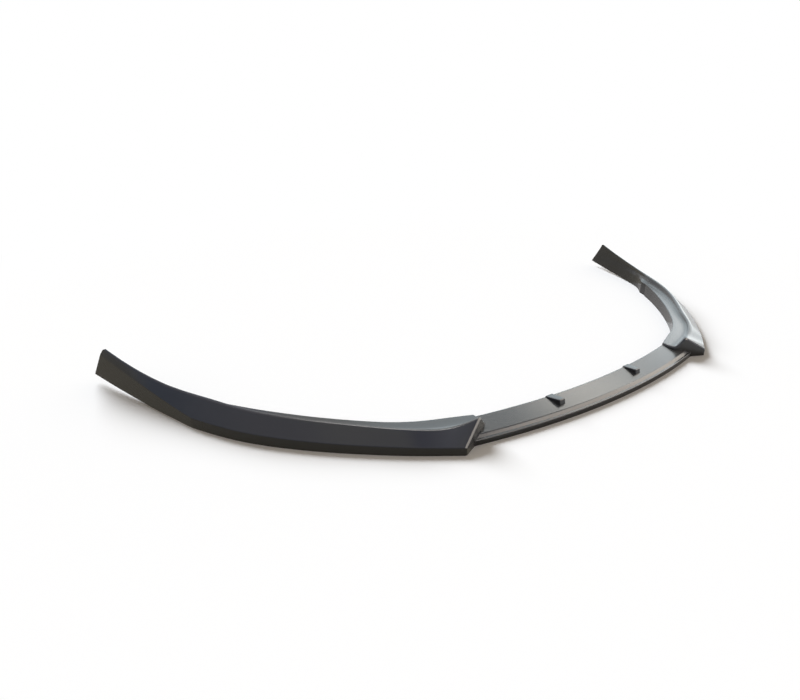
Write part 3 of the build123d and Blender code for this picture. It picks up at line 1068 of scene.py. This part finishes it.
class SPLITTER_OT_mould_lip(bpy.types.Operator):
    """Unite the pieces into one moulding, hollow its underside and give it its plastic"""

    bl_idname = "splitter.mould_lip"
    bl_label = "Mould Lip"

    def execute(self, context):
        gloss, back = bpy.data.materials["gloss_black"], bpy.data.materials["moulded_back"]
        pieces = bpy.data.objects
        for name in ("blade", "corners", "fins"):
            pieces[name].data.materials.append(gloss)
        for name in ("blade_hollow", "fins_hollow", "corners_hollow"):
            pieces[name].data.materials.append(back)
        lip = pieces["blade"]
        for name in ("corners", "fins"):
            self.combine(lip, pieces[name], "UNION")
        self.combine(lip, self.floor_block(back), "DIFFERENCE")
        for name in ("blade_hollow", "corners_hollow", "fins_hollow"):
            self.combine(lip, pieces[name], "DIFFERENCE")
        lip.name = "splitter_moulding"
        bpy.ops.object.select_all(action="DESELECT")
        lip.select_set(True)
        bpy.ops.object.mode_set(mode="EDIT")
        bpy.ops.mesh.select_all(action="SELECT")
        bpy.ops.mesh.remove_doubles(threshold=WELD)
        bpy.ops.mesh.dissolve_degenerate(threshold=WELD)
        bpy.ops.object.mode_set(mode="OBJECT")
        bpy.ops.object.shade_smooth_by_angle(angle=SMOOTH_ANGLE)
        normals = lip.modifiers.new("normals", "WEIGHTED_NORMAL")
        normals.keep_sharp = True
        bpy.ops.object.modifier_apply(modifier=normals.name)
        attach(lip, "root")
        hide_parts(LIP_NODE)
        return {"FINISHED"}

    def floor_block(self, material):
        """A block under the floor, which trims the feet level."""
        depth = -2 * HOLLOW_FOOT
        low, high = CAD_BOX
        bpy.ops.mesh.primitive_cube_add(size=1.0, location=UP * -depth / 2)
        block = added("floor_block")
        block.scale = (2 * (high.x - low.x), 2 * (high.y - low.y), depth)
        bpy.ops.object.transform_apply(location=True, rotation=False, scale=True)
        block.data.materials.append(material)
        return block

    def combine(self, lip, tool, operation):
        change = lip.modifiers.new(tool.name, "BOOLEAN")
        change.operation = operation
        change.solver = "EXACT"
        change.material_mode = "TRANSFER"
        change.object = tool
        bpy.context.view_layer.objects.active = lip
        bpy.ops.object.modifier_apply(modifier=change.name)
        if not lip.data.polygons:
            raise RuntimeError(f"Nothing is left of the lip after {operation} with {tool.name}")
        bpy.data.objects.remove(tool)


class SPLITTER_OT_set_stage(bpy.types.Operator):
    """Lay the floor, hang the lamps and stand the camera"""

    bl_idname = "splitter.set_stage"
    bl_label = "Set Stage"

    def execute(self, context):
        context.scene.view_settings.view_transform = "Standard"
        studio = context.scene.studio_setup
        self.floor(studio)
        self.sky(context.scene, studio)
        self.key(studio)
        cool, plain, warm = studio.cool_colour, studio.softbox_colour, studio.warm_colour
        self.softbox("softbox_back", azimuth=28, elevation=25, size=(3.4, 2.7), level=1.1, colour=cool)
        self.softbox("softbox_right", azimuth=10, elevation=10, size=(1.0, 1.7), level=1.8, colour=plain)
        self.softbox("softbox_core", azimuth=20, elevation=38, size=(0.9, 0.5), level=5.2, colour=warm)
        self.softbox("softbox_top", azimuth=61, elevation=65, size=(1.5, 0.6), level=11.0, colour=plain)
        # Nearer than the others, inside the screen that paints the dark reflection
        self.softbox(
            "softbox_front", azimuth=-48, elevation=34, size=(3.4, 1.3), level=5.5, colour=warm, distance=2.3
        )
        # A glowing screen round the left that paints a dark reflection, only for the gloss
        self.curtain(studio)
        # A glowing sheet overhead that paints a dusky reflection, only for the gloss
        self.ceiling(studio)
        # Glowing sheets on the floor that paint the reflection of a darker, brownish floor in shade, only for
        # the gloss
        self.mat("mat_left", studio.floor_reflection_colour, across=(-1.8, -0.38), along=(-1.4, 0.15))
        self.mat("mat_back", studio.floor_reflection_colour, across=(-1.8, 1.1), along=(0.15, 1.4))
        self.mat("mat_inside", studio.inside_floor_reflection_colour, across=(0.2, 0.8), along=(-0.16, 0.15))
        self.camera(context.scene, studio)
        return {"FINISHED"}

    def shown(self, shader):
        """1 for what the camera sees itself, in gloss or through glass."""
        paths = ("Is Camera Ray", "Is Glossy Ray", "Is Transmission Ray")
        seen, mirrored, through = (shader.node("ShaderNodeLightPath", output=path) for path in paths)
        return (seen + mirrored + through) > 0.5

    def floor(self, studio):
        """A matte floor that keeps the shadow and turns plain white far from the lip."""
        bpy.ops.mesh.primitive_plane_add(size=FLOOR_SIZE)
        floor = added("floor")
        paint = bpy.data.materials.new("floor_white")
        shader = Shader(paint)
        place = shader.node("ShaderNodeTexCoord", output="Object")
        reach = shader.node("ShaderNodeVectorMath", {"operation": "LENGTH"}, {0: place}, "Value")
        far = shader.ease(reach, studio.floor_near, studio.floor_far)
        matte = shader.node("ShaderNodeBsdfDiffuse", {}, {"Color": studio.floor_colour})
        white = shader.node("ShaderNodeEmission", {}, {"Color": WHITE, "Strength": 1.0})
        both = shader.node("ShaderNodeMixShader", {}, {0: far * self.shown(shader), 1: matte, 2: white})
        shader.close(both)
        floor.data.materials.append(paint)

    def sky(self, scene, studio):
        """A white background over a soft fill light."""
        scene.world = bpy.data.worlds.new("studio")
        shader = Shader(scene.world)
        soft = {"Color": studio.fill_colour, "Strength": studio.fill}
        fill = shader.node("ShaderNodeBackground", {}, soft)
        white = shader.node("ShaderNodeBackground", {}, {"Color": WHITE, "Strength": 1.0})
        both = shader.node("ShaderNodeMixShader", {}, {0: self.shown(shader), 1: fill, 2: white})
        shader.close(both, "ShaderNodeOutputWorld")

    def key(self, studio):
        """The main light, broad and from behind, which the floor and the plastic's own colour see."""
        bpy.ops.object.light_add(type="SUN")
        lamp = added("key")
        turn, height = studio.key_azimuth, studio.key_elevation
        lamp.data.energy = studio.key * pi / sin(height)
        lamp.data.color = studio.key_colour
        lamp.data.angle = studio.key_spread
        toward = compass(turn) * cos(height) + UP * sin(height)
        lamp.rotation_euler = toward.to_track_quat("Z", "Y").to_euler()
        lamp.visible_glossy = False

    def softbox(self, name, azimuth, elevation, size, level, colour, distance=3.0):
        """Hangs a lamp that the gloss sees; it faces the middle of the lip at this level of light."""
        flat = compass(radians(azimuth)) * cos(radians(elevation))
        place = (flat + UP * sin(radians(elevation))) * distance
        bpy.ops.object.light_add(type="AREA", location=place)
        lamp = added(name)
        lamp.data.shape = "RECTANGLE"
        lamp.data.size, lamp.data.size_y = size
        lamp.data.energy = level * pi * size[0] * size[1]
        lamp.data.color = colour
        lamp.rotation_euler = (-place).to_track_quat("-Z", "Y").to_euler()
        lamp.visible_camera = False
        lamp.visible_diffuse = False

    def curtain(self, studio):
        """A glowing screen round the left and the front that paints a dark reflection for the gloss, paler at
        the top.
        """
        bpy.ops.mesh.primitive_cylinder_add(
            vertices=CURTAIN_SIDES, radius=CURTAIN_RADIUS, depth=1.0, end_fill_type="NOTHING"
        )
        curtain = added("curtain")
        bpy.ops.object.mode_set(mode="EDIT")
        bpy.ops.mesh.select_mode(type="FACE")
        bpy.ops.mesh.select_all(action="DESELECT")
        skin = bmesh.from_edit_mesh(curtain.data)
        for vertex in skin.verts:
            vertex.co.z = studio.curtain_height if vertex.co.z > 0 else 0.0
        for face in skin.faces:
            place = face.calc_center_median()
            face.select_set(studio.curtain_end < atan2(place.y, place.x) < studio.curtain_start)
        bmesh.update_edit_mesh(curtain.data)
        bpy.ops.mesh.delete(type="FACE")
        bpy.ops.object.mode_set(mode="OBJECT")
        shader = Shader(bpy.data.materials.new("curtain_cloth"))
        height = shader.split(shader.node("ShaderNodeTexCoord", output="Object"))[2]
        upper = shader.ease(height, start=0.0, end=studio.curtain_fade)
        self.gloss_only(curtain, shader, shader.mix(upper, studio.reflection_wall_low, studio.reflection_wall_high))

    def sheet(self, name, across, along, height):
        """A level sheet between two limits in x and two in y."""
        bpy.ops.mesh.primitive_plane_add(size=1.0)
        sheet = added(name)
        for vertex in sheet.data.vertices:
            vertex.co = (across[vertex.co.x > 0], along[vertex.co.y > 0], height)
        return sheet

    def ceiling(self, studio):
        """A glowing sheet over the front that paints a dusky reflection for the gloss, and fades to white on
        the left.
        """
        ceiling = self.sheet("ceiling", across=(-0.95, 0.6), along=(-1.9, 0.6), height=CEILING_HEIGHT)
        shader = Shader(bpy.data.materials.new("ceiling_cloth"))
        x = shader.split(shader.node("ShaderNodeTexCoord", output="Object"))[0]
        dusky = shader.ease(x, *CEILING_FADE)
        self.gloss_only(ceiling, shader, shader.mix(dusky, WHITE, studio.reflection_roof_colour))

    def mat(self, name, colour, across, along):
        """A glowing sheet just above the floor that paints the reflection of a darker, brownish floor in
        shade for the gloss.
        """
        mat = self.sheet(name, across, along, REFLECTION_SHEET_HEIGHT)
        self.gloss_only(mat, Shader(bpy.data.materials.new(name + "_cloth")), colour)

    def gloss_only(self, screen, shader, colour):
        """Finishes a glowing screen that paints reflections: only the gloss sees it, and it neither shows nor
        shades the floor.
        """
        glow = shader.node("ShaderNodeEmission", {}, {"Color": colour, "Strength": 1.0})
        shader.close(glow)
        screen.data.materials.append(shader.owner)
        screen.visible_camera = False
        screen.visible_diffuse = False
        screen.visible_shadow = False

    def camera(self, scene, studio):
        bpy.ops.object.camera_add(location=studio.camera_place)
        camera = added("photo_camera")
        camera.data.lens = studio.lens
        camera.data.sensor_width = SENSOR_WIDTH
        camera.rotation_euler = Vector(studio.camera_aim).to_track_quat("-Z", "Y").to_euler()
        scene.camera = camera


GROUPS = {
    "blade_sizes": BladeSizes,
    "fin_sizes": FinSizes,
    "corner_sizes": CornerSizes,
    "flange_sizes": FlangeSizes,
    "wing_sizes": WingSizes,
    "lip_finish": LipFinish,
    "studio_setup": StudioSetup,
}
STEPS = (
    SPLITTER_OT_mix_plastics,
    SPLITTER_OT_add_blade,
    SPLITTER_OT_add_fins,
    SPLITTER_OT_add_corners,
    SPLITTER_OT_mould_lip,
    SPLITTER_OT_set_stage,
)


class SPLITTER_PT_panel(bpy.types.Panel):
    """Sizes and steps of the splitter lip"""

    bl_idname = "SPLITTER_PT_panel"
    bl_label = "Splitter Lip"
    bl_space_type = "VIEW_3D"
    bl_region_type = "UI"
    bl_category = "Splitter"

    def draw(self, context):
        for pointer, group in GROUPS.items():
            box = self.layout.box()
            for name in group.__annotations__:
                box.prop(getattr(context.scene, pointer), name)
        for step in STEPS:
            self.layout.operator(step.bl_idname)


CLASSES = (*GROUPS.values(), *STEPS, SPLITTER_PT_panel)


def register():
    for made in CLASSES:
        bpy.utils.register_class(made)
    for pointer, group in GROUPS.items():
        setattr(bpy.types.Scene, pointer, bpy.props.PointerProperty(type=group))


def unregister():
    for pointer in GROUPS:
        delattr(bpy.types.Scene, pointer)
    for made in reversed(CLASSES):
        bpy.utils.unregister_class(made)


def main():
    register()
    bpy.ops.splitter.mix_plastics()
    bpy.ops.splitter.add_blade()
    bpy.ops.splitter.add_fins()
    bpy.ops.splitter.add_corners()
    bpy.ops.splitter.mould_lip()
    bpy.ops.splitter.set_stage()


if __name__ == "__main__":
    main()
